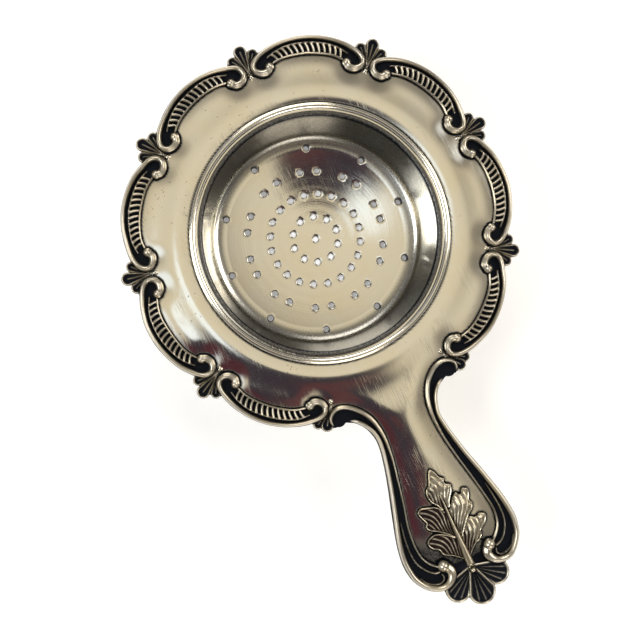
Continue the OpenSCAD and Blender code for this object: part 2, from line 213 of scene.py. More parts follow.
def scroll_height(parts, xy):
    h = np.full(len(xy), GROUND_H)
    _, share, _, run = along(parts["outer"], xy)
    swell = smooth(0.35, 1.0, np.abs(run / run.max() - 0.5) * 2)
    rail = dome(share) * (RAIL_H + 0.34 * swell)
    # A fine groove follows the rail's outer flank into the volutes.
    groove = bell((share - 0.42) / 0.16) * 0.10 * smooth(0.2, 0.6, swell)
    h = soft_max(h, rail - np.where((share > 0) & (share < 1), groove, 0))
    _, share, width, _ = along(parts["flute"], xy)
    d_top = np.abs(share) * width
    h = soft_max(h, dome(share) * FLUTE_H)
    _, share, width, _ = along(parts["inner"], xy)
    d_low = np.abs(share) * width
    h = soft_max(h, dome(share) * INNER_H)
    # Bowed bars fill the band between the two thin rails.
    v = d_low / (d_low + d_top + 1e-6)
    s = BAR_ARC_R * np.arctan2(xy[:, 0], xy[:, 1] - BAR_ARC_Y)
    s = s + BAR_LEAN * (v - 0.5) - BAR_BOW * (1 - 4 * (v - 0.5) ** 2)
    off = (np.abs(s / BAR_PITCH - np.round(s / BAR_PITCH))) * BAR_PITCH
    bars = dome(off / (BAR_W + 0.10 * v)) * (1.12 + 0.1 * v)
    bars = bars * (1 - smooth(8.4, 9.2, np.abs(s)))
    h = np.where(inside(parts["ladder"], xy), soft_max(h, bars), h)
    for side in (-1, 1):
        h = soft_max(h, dome(spot(side * HEAD[0], HEAD[1], 0, xy) / HEAD[2]) * HEAD_H)
    return h


# ---- Border shell, with the junction on the Y axis ----

SHELL_ROOT = 40.2
SHELL_LEAVES = [(0, 5.1, 1.55), (34, 4.45, 1.25), (-34, 4.45, 1.25)]
NECK_LEAVES = [(14, 4.3, 1.5), (40, 4.8, 1.3)]


def leaflet(root, turn, length, r, xy, root_r=0.4):
    """Gap and rim height of a wedge that widens from its root to a round tip."""
    a = math.radians(turn)
    tip = [root[0] - length * math.sin(a), root[1] + length * math.cos(a), r]
    return along(np.array([[root[0], root[1], root_r], tip]), xy)


def leaves_shape(leaves, root, xy):
    """Overlapping scooped leaflets, the first on top: gap, height and tarnish."""
    gap, h, tone = blank(xy, FAR, 0.25, 0.9)
    for n, (turn, length, r) in enumerate(leaves):
        g, share, _, run = leaflet(root, turn, length, r, xy)
        reach = np.clip(run / length, 0, 1)
        rim = bell((g + 0.24) / 0.20)
        lip = rim * (0.28 + 0.14 * reach)
        ribs = np.clip(np.cos(np.clip(share, -1, 1) * 7.6), 0, 1) ** 1.3
        ribs = 0.52 * ribs * smooth(0.05, 0.35, reach) * smooth(-0.1, -0.5, g)
        middle = 0.28 * bell(share / 0.22) * smooth(1.0, 0.5, reach)
        own = (0.26 + ribs + lip + middle) * (1.0 if n == 0 else 0.88)
        own = own * smooth(0.05, -0.10, g)
        free = g < 0 if n == 0 else (g < 0) & (gap > 0.0)
        h = np.where(free, own, h)
        own_tone = 0.86 - 0.80 * rim - 0.80 * ribs - 1.2 * middle
        tone = np.where(free, own_tone + 0.25 * smooth(-0.05, 0, g), tone)
        gap = np.minimum(gap, g)
    return gap, h, np.clip(tone, 0, 1)


# ---- Handle scroll, upper half ----

H_OUTER = [
    [42.1, 12.3, 0.30], [42.95, 10.5, 0.46], [44.8, 8.9, 0.5], [47.2, 7.9, 0.5],
    [50, 7.55, 0.5], [54, 8.1, 0.5], [60, 9.5, 0.54], [66, 11.2, 0.58], [72, 12.8, 0.62],
    [76, 13.55, 0.64], [79, 13.7, 0.66], [82, 13.1, 0.68], [84.5, 11.6, 0.70],
    [86.1, 9.5, 0.74], [86.5, 7.3, 0.82], [85.6, 5.5, 0.95], [83.8, 4.75, 1.1],
    [82.2, 5.5, 1.2]]
H_INNER = [
    [42.0, 15.4, 0.3], [41.2, 15.85, 0.4], [39.9, 15.75, 0.5], [38.8, 14.7, 0.56],
    [38.5, 13.0, 0.6], [39.3, 10.9, 0.62], [41.3, 8.7, 0.62], [43.8, 7.2, 0.6],
    [46.6, 6.4, 0.52], [50, 6.2, 0.44], [55, 6.6, 0.34], [60, 7.5, 0.3], [65, 8.6, 0.28],
    [70, 9.7, 0.27], [74.5, 10.25, 0.27], [78, 9.8, 0.27], [80.2, 8.6, 0.3],
    [81.6, 7.1, 0.34]]
H_THIN = [[68.5, 10.9, 0.10], [72, 11.5, 0.18], [75.5, 11.85, 0.2], [78.7, 11.4, 0.2],
          [81.2, 10.1, 0.2], [82.5, 8.6, 0.22], [82.8, 7.4, 0.24]]
H_EYE = [[82.3, 12.0, 0.12], [84.0, 10.9, 0.16], [85.1, 9.3, 0.18], [85.3, 7.8, 0.18],
         [84.5, 6.9, 0.18], [83.5, 7.0, 0.16]]
H_WIDE = (1.16, 1.08, 1.35, 1.3)
H_HEAD = (81.95, 5.95, 1.6)
H_EYE_SPOT = (84.3, 8.3, 2.5)
H_HOOK_SPOT = (40.75, 14.1, 1.85)


def handle_parts(seed=None):
    rows = [H_OUTER, H_INNER, H_THIN, H_EYE]
    rows = [[[x, y, w * wide] for x, y, w in row] for row, wide in zip(rows, H_WIDE)]
    if seed is not None:
        rows = [jitter(r, seed + n, JITTER) for n, r in enumerate(rows)]
    outer, inner, thin, eye = [spline(r) for r in rows]
    return {"outer": outer, "inner": inner, "thin": thin, "eye": eye,
            "band": np.vstack([outer[:-24, :2], inner[::-1][:-18, :2]])}


def handle_gap(parts, xy):
    gap = np.minimum(along(parts["outer"], xy)[0], along(parts["inner"], xy)[0])
    for x, y, r in (H_HEAD, H_EYE_SPOT, H_HOOK_SPOT):
        gap = np.minimum(gap, spot(x, y, r, xy))
    return np.where(inside(parts["band"], xy), np.minimum(gap, -0.25), gap)


def handle_height(parts, xy):
    h = np.full(len(xy), GROUND_H)
    _, share, _, run = along(parts["outer"], xy)
    swell = smooth(60, 75, run)
    rail = dome(share) * (1.55 + 0.35 * swell) * smooth(-0.5, 2.5, run)
    rail -= bell((share - 0.35) / 0.15) * 0.09 * smooth(30, 44, run) * (np.abs(share) < 1)
    h = soft_max(h, rail)
    _, share, _, run = along(parts["inner"], xy)
    thick = 1 - smooth(16, 26, run)
    h = soft_max(h, dome(share) * (1.28 + 0.5 * thick) * smooth(-0.6, 2.2, run))
    for key, top in (("thin", 1.25), ("eye", 1.15)):
        share = along(parts[key], xy)[1]
        h = soft_max(h, dome(share) * top)
    return soft_max(h, dome(spot(*H_HEAD[:2], 0, xy) / H_HEAD[2]) * 2.2)


# ---- Leaf ----

LEAF = [
    ((73.5, 0.0), 0.22, [
        [70, -1.0], [68.6, -1.6], [67.2, -2.6], [65.5, -2.9], [64.1, -2.4], [63.4, -1.5],
        [61.5, -0.7], [60.1, 0.2], [61.2, 1.1], [62.4, 1.5], [63.3, 2.4], [64.4, 2.2],
        [65.3, 3.3], [66.9, 2.9], [68.5, 1.7], [70, 1.0]]),
    ((79.0, 0.2), 0.10, [
        [70.4, 0.7], [69.3, 1.6], [68.0, 2.5], [67.5, 3.6], [68.3, 4.4], [67.3, 5.3],
        [67.6, 6.4], [68.8, 6.6], [70.4, 5.9], [71.5, 6.2], [72.7, 5.6], [73.6, 4.3],
        [75.5, 2.6], [77.5, 0.9], [77.5, 0], [70.4, 0]]),
    ((79.0, -0.2), 0.10, [
        [70.4, -0.6], [69.3, -1.2], [68.4, -2.3], [67.9, -3.8], [67.5, -5.5], [68.4, -6.5],
        [69.9, -6.1], [71.2, -5.6], [72.1, -6.1], [73.2, -5.5], [74.1, -4.0], [75.4, -2.4],
        [77, -0.8], [77, 0], [70.4, 0]]),
    ((85.5, 0.4), 0.0, [
        [76.4, 0.9], [75.9, 2.3], [74.5, 3.3], [73.9, 4.4], [74.6, 5.5], [74.2, 6.8],
        [75.0, 8.0], [76.2, 7.7], [77.2, 6.8], [78.0, 5.6], [79.1, 5.4], [80.0, 4.6],
        [80.4, 3.4], [81.4, 2.0], [82.4, 0.9], [82.4, 0], [76.4, 0]]),
    ((85.5, -0.4), 0.0, [
        [76.8, -0.8], [75.8, -1.9], [74.9, -3.2], [74.3, -4.9], [74.8, -6.6], [76.0, -7.3],
        [77.4, -6.6], [78.2, -5.4], [79.5, -5.0], [80.3, -4.0], [81.1, -2.6], [82.6, -0.9],
        [82.6, 0], [76.8, 0]])]
STEM = [[66.6, 0, 0.26], [70, 0.05, 0.36], [74, -0.04, 0.50], [78, 0.03, 0.68],
        [81.5, 0, 0.92], [83.7, 0, 1.0]]


def leaf_clusters():
    out = []
    for root, lift, points in LEAF:
        closed = spline(np.array([p + [0] for p in points + points[:1]], float), 5)[:-1, :2]
        out.append((root, lift, closed))
    return out


def leaf_shape(clusters, xy):
    """Five overlapping clusters with raised edges and veins that fan from the stem: gap,
    height, and tarnish with a painted lighter side towards +Y."""
    gap, h, tone = blank(xy, FAR, 0.3, 0.9)
    for root, lift, loop in clusters:
        g = loop_gap(loop, xy)
        dx, dy = root[0] - xy[:, 0], xy[:, 1] - root[1]
        reach = np.hypot(dx, dy)
        fan = np.arctan2(dy, dx) + 0.10 * np.sin(reach * 0.55)
        veins = np.abs(np.cos(fan * 27 + root[1])) ** 5
        rim = bell((g + 0.17) / 0.15)
        body = 0.36 + lift + 0.26 * smooth(0.0, 1.5, -g) + 0.24 * rim
        body += 0.17 * veins * smooth(0.25, 0.6, -g)
        ripple = 0.12 * np.sin(reach * 1.5 + root[1] * 3)
        own = (body + ripple * smooth(0.3, 1.2, -g)) * smooth(0.04, -0.12, g)
        # Painted light: clusters towards +Y and towards smaller X get less tarnish, as if lit.
        lit = smooth(-1.0, 4.5, xy[:, 1] + 0.35 * (74 - xy[:, 0]))
        own_tone = 0.97 - 0.54 * lit - 0.60 * veins * smooth(0.3, 0.7, -g)
        own_tone = own_tone - 0.95 * rim + 0.25 * smooth(-0.05, 0.0, g)
        above = (g < 0) & (own > h)
        tone = np.where(above, own_tone, tone)
        h = np.where(above, own, h)
        gap = np.minimum(gap, g)
    valley = smooth(0.3, 1.0, np.abs(xy[:, 1])) + smooth(68, 66, xy[:, 0])
    valley = np.clip(valley, 0, 1)
    return gap, h * (0.70 + 0.30 * valley), np.clip(np.maximum(tone, 0.9 * (1 - valley)), 0, 1)


def stem_shape(xy):
    """Gap and height of the leaf's middle rib."""
    gap, share, _, run = along(spline(STEM), xy)
    return gap, 0.50 + dome(share) * (0.72 + 0.44 * smooth(0, 14, run))


# ---- Tip shell ----

TIP_ROOT = 85.2
TIP_BEAD = (85.75, 0, 0.80, 1.5)      # x, y, radius and height
BEAD_RING, BEAD_R, BEAD_H = 39.0, 0.72, 0.72
TIP_LEAVES = [(0, 6.0, 3.3), (55, 6.0, 3.1), (-55, 6.0, 3.1)]


def tip_shape(xy):
    """Three overlapping fluted leaflets that open along +X: gap, height and tarnish."""
    local = np.column_stack([-xy[:, 1], xy[:, 0]])
    gap, h, tone = blank(xy, FAR, 0.3, 0.9)
    for n, (turn, length, r) in enumerate(TIP_LEAVES):
        g = leaflet((0, TIP_ROOT), turn, length, r, local, 0.8)[0]
        dx, dy = local[:, 0], local[:, 1] - TIP_ROOT
        reach = np.hypot(dx, dy)
        fan = np.arctan2(-dx, dy) - math.radians(turn)
        rim = bell((g + 0.30) / 0.26)
        flutes = np.clip(0.5 + 0.5 * np.cos(fan * 31), 0, 1) ** 2.4 * 0.34
        flutes = flutes * smooth(0.8, 2.2, reach) * smooth(-0.45, -1.3, g)
        scoop = 0.22 + 0.10 * smooth(0, 8, reach) + flutes
        own = (scoop + 0.42 * rim) * (1.08 if n == 0 else 0.92) * smooth(0.05, -0.14, g)
        free = g < 0 if n == 0 else (g < 0) & (gap > 0)
        h = np.where(free, own, h)
        own_tone = 0.92 - rim - 0.95 * flutes
        tone = np.where(free, own_tone + 0.3 * smooth(-0.06, 0, g), tone)
        gap = np.minimum(gap, g)
    return gap, h, np.clip(tone, 0, 1)


# ---- Body of the plate ----

FLANGE_R = 40.4
BASE_SCROLL = scroll_parts()
BASE_HANDLE = handle_parts()
LOBE_FILL = np.vstack([[[-9, 36], [9, 36]], BASE_SCROLL["outer"][24:-24][::-1, :2]])
HANDLE_FILL = np.vstack([[[30, -0.1], [30, 14], [38.6, 14.5]],
                         BASE_HANDLE["outer"][3:-9, :2], [[85.2, -0.1]]])


def flip(xy):
    return xy * np.array([1, -1])


def lower_near(gap, local, half, low, measure):
    """Takes up the gap to one mount, measured only at the points around it."""
    near = (np.abs(local[:, 0]) < half) & (local[:, 1] > low)
    if near.any():
        gap[near] = np.minimum(gap[near], measure(local[near]))


def mounts_gap(xy):
    """Gap to the nearest border scroll or handle scroll."""
    gap = np.full(len(xy), FAR)
    for i in range(1, SCROLLS + 1):
        lower_near(gap, turned(xy, scroll_angle(i)), 18, 30,
                   lambda p: scroll_gap(BASE_SCROLL, p))
    near = xy[:, 0] > 30
    for view in (xy, flip(xy)):
        gap[near] = np.minimum(gap[near], handle_gap(BASE_HANDLE, view[near]))
    return gap


def fills(xy):
    """True where the plate lies behind the border or the handle's scrolls."""
    hit = np.hypot(*xy.T) < FLANGE_R
    for i in range(1, SCROLLS + 1):
        hit |= inside(LOBE_FILL, turned(xy, scroll_angle(i)))
    for view in (xy, flip(xy)):
        hit |= inside(HANDLE_FILL, view)
    return hit


def shells_gap(xy):
    """Gap to the nearest shell of the border, the neck or the tip."""
    gap = tip_shape(xy)[0]
    for i in range(1, SCROLLS):
        lower_near(gap, turned(xy, junction_angle(i)), 7, 37,
                   lambda p: leaves_shape(SHELL_LEAVES, (0, SHELL_ROOT), p)[0])
    for view in (xy, flip(xy)):
        lower_near(gap, turned(view, HANDLE_GAP / 2), 9, 37,
                   lambda p: leaves_shape(NECK_LEAVES, (0, SHELL_ROOT), p)[0])
    return gap


def plate_gap(xy):
    outer = np.minimum(mounts_gap(xy), shells_gap(xy))
    outer = np.where(fills(xy), np.minimum(outer, -0.3), outer)
    return np.maximum(outer, OPENING_R - np.hypot(*xy.T))


SOFT_STEP, SOFT_LOW, SOFT_HIGH = 0.45, (-50.0, -50.0), (98.0, 50.0)


def soft_gap_grid():
    """Distance to the mounts, rounded off so that the flange swells without creases."""
    gx, gy = np.meshgrid(np.arange(SOFT_LOW[0], SOFT_HIGH[0], SOFT_STEP),
                         np.arange(SOFT_LOW[1], SOFT_HIGH[1], SOFT_STEP), indexing="ij")
    xy = np.column_stack([gx.ravel(), gy.ravel()])
    grid = np.where(fills(xy), np.clip(mounts_gap(xy), -1.5, 12), -1.5).reshape(gx.shape)
    for _ in range(3):
        grid = spread(grid, 2, False)
    return grid


def crown(xy):
    """Height of the flange and of the handle's field above the mounts' seat."""
    at = (xy - SOFT_LOW) / SOFT_STEP
    cell = np.clip(at.astype(int), 0, np.array(SOFT_GAP.shape) - 2)
    fx, fy = np.clip(at - cell, 0, 1).T
    i, j = cell.T
    gap = (SOFT_GAP[i, j] * (1 - fx) * (1 - fy) + SOFT_GAP[i + 1, j] * fx * (1 - fy)
           + SOFT_GAP[i, j + 1] * (1 - fx) * fy + SOFT_GAP[i + 1, j + 1] * fx * fy)
    r = np.hypot(*xy.T)
    span = 4.4 + 3.0 * smooth(40, 50, xy[:, 0])
    swell = 1 - (1 - np.clip((gap + 0.9) / span, 0, 1)) ** 2.2
    lift = np.clip((r - RING_OUT + 0.25) / 4.6, 0, 1)
    lift = 1 - (1 - lift) ** 2
    fall = 1 - 0.30 * smooth(32, 38, r) * smooth(46, 38, r)
    return (CROWN_H - 0.02) * swell * (0.50 + 0.50 * lift) * fall


# ---- Meshes ----

def spread(grid, size, largest):
    """Local maximum or mean of a grid, over a square of this many steps each way."""
    for axis in (0, 1):
        total = grid.copy()
        for k in range(1, size + 1):
            for way in (-k, k):
                moved = np.roll(grid, way, axis=axis)
                total = np.maximum(total, moved) if largest else total + moved
        grid = total if largest else total / (2 * size + 1)
    return grid


SOFT_GAP = soft_gap_grid()
PROBE = 0.02                          # how far apart an outline's slope is measured
DEEP, SHALLOW = 0.33, 0.56            # heights at which the ground is black and bare


def tidy_cells(keep):
    """Fills cells that would leave two others touching only at a corner."""
    for _ in range(3):
        a, b, c, d = keep[:-1, :-1], keep[1:, :-1], keep[:-1, 1:], keep[1:, 1:]
        cross = (a & d & ~b & ~c) | (b & c & ~a & ~d)
        if not cross.any():
            break
        keep[:-1, :-1] |= cross
        keep[1:, :-1] |= cross
    return keep


def grid_points(low, high, step):
    """Points of a square grid, and how many lie along X and Y."""
    nx = int(math.ceil((high[0] - low[0]) / step)) + 1
    ny = int(math.ceil((high[1] - low[1]) / step)) + 1
    gx, gy = np.meshgrid(low[0] + np.arange(nx) * step, low[1] + np.arange(ny) * step,
                         indexing="ij")
    return np.column_stack([gx.ravel(), gy.ravel()]), nx, ny


def onto_outline(shape, p, step):
    """Moves points onto the outline of a shape: the points and its outward direction there."""
    for _ in range(4):
        probe = np.vstack([p, p + [PROBE, 0], p - [PROBE, 0], p + [0, PROBE], p - [0, PROBE]])
        g = shape(probe)[0].reshape(5, -1)
        slope = np.column_stack([g[1] - g[2], g[3] - g[4]]) / (2 * PROBE)
        size = np.maximum((slope ** 2).sum(1), 0.25)
        move = slope * (g[0] / size)[:, None]
        long = np.maximum(np.hypot(*move.T) / (0.6 * step), 1)
        p = p - move / long[:, None]
    return p, slope / np.maximum(np.hypot(*slope.T), 1e-6)[:, None]


def low_tarnish(height, used, size, cells, limits):
    """Tarnish that gathers wherever a relief lies below its surroundings."""
    grid = np.zeros(len(used))
    grid[used] = height
    grid = grid.reshape(size)
    local = spread(spread(grid, cells, True), max(cells // 2, 1), False)
    dark = 1 - smooth(*limits, (grid / np.maximum(local, 0.05)).ravel()[used])
    return np.maximum(dark, 0.95 * smooth(SHALLOW, DEEP, height))


def open_sides(keep, ij, faces):
    """The point pairs of every cell side that has no neighbour, where the walls go."""
    sides = []
    for p, (di, dj) in enumerate(((0, -1), (1, 0), (0, 1), (-1, 0))):
        alone = ~keep[1 + ij[:, 0] + di, 1 + ij[:, 1] + dj]
        sides.append(faces[alone][:, [p, (p + 1) % 4]])
    return np.vstack(sides)


def flat_bottom(after, ids):
    """One polygon for each closed loop of the bottom's edge; after gives each next point."""
    polygons = []
    while after:
        loop = [next(iter(after))]
        onward = after.pop(loop[0])
        while onward != loop[0]:
            loop.append(onward)
            onward = after.pop(onward)
        polygons.append([int(ids[k]) for k in loop[::-1]])
    return polygons


def relief(name, shape, low, high, step, rows=((0, -0.04),), below=None,
           tarnish=(0.32, 0.82), reach=0.6):
    """A closed mesh of a relief: shape gives each point's gap (negative inside), its height
    over the mounts' seat and perhaps its tarnish, which for the leaf holds painted light too.

    rows are the wall's lower edges, each an inset and a height from the seat. The last one
    bounds the bottom, which is flat or follows below."""
    xy, nx, ny = grid_points(low, high, step)
    gap = shape(xy)[0].reshape(nx, ny)
    middle = (gap[:-1, :-1] + gap[1:, :-1] + gap[:-1, 1:] + gap[1:, 1:]) / 4
    keep = np.zeros((nx + 1, ny + 1), bool)
    keep[1:-1, 1:-1] = middle < 0
    keep = tidy_cells(keep)
    near = [keep[:-1, :-1], keep[1:, :-1], keep[:-1, 1:], keep[1:, 1:]]
    used = (near[0] | near[1] | near[2] | near[3]).ravel()
    at = np.flatnonzero(used & ~(near[0] & near[1] & near[2] & near[3]).ravel())
    xy[at], slope = onto_outline(shape, xy[at], step)
    number = np.full(nx * ny, -1)
    number[used] = np.arange(used.sum())
    top = xy[used]
    height, *tone = shape(top)[1:]
    cells = max(int(round(reach / step)), 1)
    dark = tone[0] if tone else low_tarnish(height, used, (nx, ny), cells, tarnish)
    ij = np.argwhere(keep[1:-1, 1:-1])
    first = ij[:, 0] * ny + ij[:, 1]
    faces = np.column_stack([number[first + k] for k in (0, ny, ny + 1, 1)])
    edge = number[at]
    order = np.full(len(top), -1)
    order[edge] = np.arange(len(at))
    a, b = order[open_sides(keep, ij, faces)].T
    verts = [np.column_stack([top, TOP_Z + height])]
    darks = [dark]
    quads = [faces]
    above = edge
    count = len(top)
    for inset, z in rows:
        verts.append(np.column_stack([xy[at] - slope * inset, np.full(len(at), TOP_Z + z)]))
        # Painted shade: each side wall is darker than the edge above it, and never below 0.62.
        darks.append(np.clip(dark[edge] + 0.15, 0.62, 1))
        ids = count + np.arange(len(at))
        quads.append(np.column_stack([ids[a], ids[b], above[b], above[a]]))
        above = ids
        count += len(at)
    polygons = np.vstack(quads).tolist()
    if below is None:
        polygons += flat_bottom(dict(zip(a, b)), above)
    else:
        under = np.full(len(top), -1)
        under[edge] = above
        inner = np.flatnonzero(under < 0)
        under[inner] = count + np.arange(len(inner))
        verts.append(np.column_stack([top[inner], below(top[inner])]))
        darks.append(np.full(len(inner), 0.12))
        polygons += under[faces][:, ::-1].tolist()
    return build(name, np.vstack(verts), polygons, np.concatenate(darks))


def place_object(name, data):
    item = bpy.data.objects.new(name, data)
    bpy.context.scene.collection.objects.link(item)
    return item


def build(name, verts, faces, dark, sharp=50):
    """Makes a piece from millimetres, with its tarnish, painted shade on some pieces, and its
    shading.
    """
    mesh = bpy.data.meshes.new(name)
    mesh.from_pydata((np.asarray(verts) * MM).tolist(), [], faces)
    mesh.update()
    layer = mesh.attributes.new("tarnish", "FLOAT", "POINT")
    layer.data.foreach_set("value", np.asarray(dark, np.float32))
    mesh.shade_smooth()
    if sharp:
        mesh.set_sharp_from_angle(angle=math.radians(sharp))
    return place_object(name, mesh)


def turn_piece(piece, angle):
    """Turns a piece drawn with its middle on +Y to this angle from +X."""
    piece.data.transform(Matrix.Rotation(math.radians(angle - 90), 4, "Z"))


def mirror_piece(piece):
    """Mirrors a piece across the handle's middle."""
    piece.data.transform(Matrix.Scale(-1, 4, (0, 1, 0)))
    piece.data.flip_normals()


def lathe(name, profile, segments, dark):
    """A turned solid from a closed section of r, z points."""
    n = len(profile)
    ring = np.array(profile)
    verts = np.concatenate([
        np.column_stack([ring[:, 0] * math.cos(a), ring[:, 0] * math.sin(a), ring[:, 1]])
        for a in np.arange(segments) * 2 * math.pi / segments])
    faces = [[k * n + i, ((k + 1) % segments) * n + i,
              ((k + 1) % segments) * n + (i + 1) % n, k * n + (i + 1) % n]
             for k in range(segments) for i in range(n)]
    return build(name, verts, faces, np.tile(dark, segments), None)


# ---- Materials ----

BRIGHT = (0.90, 0.865, 0.775, 1)
AGED = (0.60, 0.55, 0.455, 1)
LEAF_TONE = (0.56, 0.50, 0.38, 1)
BLACK = (0.013, 0.015, 0.020, 1)
UMBER = (0.022, 0.014, 0.013, 1)


class Nodes:
    """A short way to build a node tree."""

    def __init__(self, tree):
        self.tree = tree

    def fill(self, node, sockets):
        for key, value in sockets.items():
            if isinstance(value, bpy.types.NodeSocket):
                self.tree.links.new(value, node.inputs[key])
            else:
                node.inputs[key].default_value = value

    def add(self, kind, sockets=None, **settings):
        node = self.tree.nodes.new(kind)
        for key, value in settings.items():
            setattr(node, key, value)
        self.fill(node, sockets or {})
        return node

    def math(self, kind, a, b=0.0, c=0.0):
        return self.add("ShaderNodeMath", {0: a, 1: b, 2: c}, operation=kind).outputs[0]

    def ramp(self, value, stops):
        node = self.add("ShaderNodeValToRGB", {"Fac": value})
        band = node.color_ramp
        while len(band.elements) < len(stops):
            band.elements.new(0.5)
        for element, (place, tone) in zip(band.elements, stops):
            element.position = place
            element.color = tone if isinstance(tone, tuple) else (tone, tone, tone, 1)
        return node.outputs["Color"]

    def noise(self, vector, scale, detail=3.0, rough=0.5):
        return self.add("ShaderNodeTexNoise", {"Vector": vector, "Scale": scale, "Detail": detail,
                                               "Roughness": rough}).outputs[0]

    def mix(self, share, a, b):
        return self.add("ShaderNodeMix", {0: share, 6: a, 7: b}, data_type="RGBA").outputs[2]


def silver(name, bright=BRIGHT, rough=(0.12, 0.30), scratch=0.5, spun=0.0, grain=0.25,
           black=BLACK):
    """Silver plate: bright where use has polished it or a highlight is painted, blackened where
    the tarnish attribute says, which also holds painted shade.
    """
    material = bpy.data.materials.new(name)
    material.use_nodes = True
    n = Nodes(material.node_tree)
    place = n.add("ShaderNodeTexCoord").outputs["Object"]
    tarnish = n.add("ShaderNodeAttribute", attribute_name="tarnish").outputs["Fac"]
    cloud = n.noise(place, 95.0, 4.0, 0.55)
    speck = n.noise(place, 2200.0, 3.0, 0.6)
    # Dirt in the recesses, and the painted shade that the tarnish attribute also holds, is blotchy
    # and eats a little into their edges.
    edge = n.math("MULTIPLY_ADD", speck, 0.18, -0.09)
    edge = n.math("MULTIPLY", edge, n.math("MULTIPLY_ADD", tarnish, 2.0, 0.25))
    dirt_and_shade = n.math("ADD", tarnish, edge)
    dirt_and_shade = n.ramp(dirt_and_shade, [(0.10, 0.0), (0.42, 0.42), (0.78, 1.0)])
    if scratch > 0.4:
        pits = n.noise(place, 1500.0, 1.0)
        where = n.ramp(n.noise(place, 70.0, 2.0), [(0.50, 0.0), (0.66, 1.0)])
        pits = n.math("MULTIPLY", n.ramp(pits, [(0.70, 0.0), (0.76, 0.6)]), where)
        dirt_and_shade = n.math("MAXIMUM", dirt_and_shade, pits)
    warm = tuple(c * f for c, f in zip(bright[:3], (1.0, 0.965, 0.88))) + (1,)
    tone = n.mix(n.ramp(cloud, [(0.35, 0.0), (0.70, 1.0)]), bright, warm)
    tone = n.mix(dirt_and_shade, tone, black)
    # Hairline wiping scratches in three directions.
    lines = None
    for turn, seed in ((20, 1.3), (75, 5.1), (140, 9.7)):
        mapped = n.add("ShaderNodeMapping", {
            "Vector": place, "Rotation": (0, 0, math.radians(turn)),
            "Location": (seed, seed, 0), "Scale": (110.0, 4200.0, 110.0)}).outputs[0]
        line = n.ramp(n.noise(mapped, 1.0, 2.0, 0.6), [(0.60, 0.0), (0.68, 1.0)])
        lines = line if lines is None else n.math("MAXIMUM", lines, line)
    rub = n.ramp(n.noise(place, 160.0, 2.0), [(0.42, 0.0), (0.62, 1.0)])
    lines = n.math("MULTIPLY", lines, rub)
    low, high = rough
    gloss = n.math("MULTIPLY_ADD", cloud, high - low, low)
    gloss = n.math("MULTIPLY_ADD", lines, 0.16 * scratch, gloss)
    gloss = n.math("MULTIPLY_ADD", dirt_and_shade, 0.28, gloss)
    height = n.math("MULTIPLY", lines, -0.55 * scratch)
    height = n.math("MULTIPLY_ADD", speck, grain, height)
    height = n.math("MULTIPLY_ADD", cloud, 0.4, height)
    if spun:
        part = n.add("ShaderNodeSeparateXYZ", {"Vector": place})
        flat = n.add("ShaderNodeCombineXYZ", {"X": part.outputs[0], "Y": part.outputs[1]})
        r = n.add("ShaderNodeVectorMath", {0: flat.outputs[0]}, operation="LENGTH")
        rings = n.add("ShaderNodeCombineXYZ", {"X": r.outputs["Value"]}).outputs[0]
        fine = n.noise(rings, 3200.0, 3.0, 0.7)
        height = n.math("MULTIPLY_ADD", fine, spun, height)
    bump = n.add("ShaderNodeBump", {"Height": height, "Strength": 0.35, "Distance": 0.00003})
    n.fill(material.node_tree.nodes["Principled BSDF"], {
        "Metallic": 1.0, "Base Color": tone, "Roughness": gloss, "Normal": bump.outputs[0]})
    return material


LOOKS = {
    "plate_silver": {"rough": (0.06, 0.13), "scratch": 0.5, "grain": 0.08},
    "bowl_silver": {"rough": (0.06, 0.13), "scratch": 0.25, "spun": 0.9, "grain": 0.08},
    "ring_silver": {"rough": (0.10, 0.18), "scratch": 0.4, "grain": 0.10},
    "scroll_silver": {"bright": AGED, "rough": (0.24, 0.36), "scratch": 0.2, "grain": 0.08},
    "shell_silver": {"bright": AGED, "rough": (0.24, 0.36), "scratch": 0.2, "grain": 0.15},
    "bead_silver": {"bright": AGED, "rough": (0.20, 0.30), "scratch": 0.1, "grain": 0.10},
    "leaf_silver": {"bright": LEAF_TONE, "rough": (0.22, 0.34), "scratch": 0.2, "grain": 0.12,
                    "black": UMBER}}
SILVER = {slot: silver(slot, **look) for slot, look in LOOKS.items()}


def dress(piece, slot, *nodes):
    """Gives a piece the silver of its slot and its body, and hides the CAD nodes it replaces."""
    piece.data.materials.clear()
    piece.data.materials.append(SILVER[slot])
    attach(piece, "root")
    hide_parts(*nodes)


# ---- Pieces ----

def plate_shape(xy):
    return plate_gap(xy), crown(xy)


def plate_under(xy):
    return BOWL_H + 0.86 * crown(xy)


def plate_tarnish(co):
    """Tarnish of the plate's points: dark round every mount, under the leaf and at the tip."""
    x, y, z = co.T
    dark = smooth(0.62, 0.05, mounts_gap(co[:, :2])) * 0.95
    dark = np.maximum(dark, smooth(0.55, 0.05, np.abs(np.hypot(x, y) - RING_OUT)) * 0.85)
    leaf = np.full(len(co), 9.0)
    near = x > 58
    leaf[near] = leaf_shape(leaf_clusters(), co[near, :2])[0]
    dark = np.maximum(dark, smooth(0.75, 0.1, leaf) * 0.9)
    dark = np.maximum(dark, smooth(80.5, 83.5, x) * 0.9)
    dark = np.maximum(dark, smooth(74.5, 81.5, x - 0.45 * y) * 0.72)
    under = z < plate_under(co[:, :2]) + 0.3
    return np.where(under, 0.10, dark)


def make_plate():
    piece = relief("plate_body", plate_shape, (-47.6, -47.6), (95.2, 47.6), 0.42,
                   rows=((0, -0.30), (0.0, -0.62), (0.14, -0.88), (0.42, -1.0)),
                   below=plate_under)
    mesh = piece.data
    co = np.empty(len(mesh.vertices) * 3)
    mesh.vertices.foreach_get("co", co)
    dark = plate_tarnish(co.reshape(-1, 3) / MM)
    mesh.attributes["tarnish"].data.foreach_set("value", dark.astype(np.float32))
    dress(piece, "plate_silver", "plate")


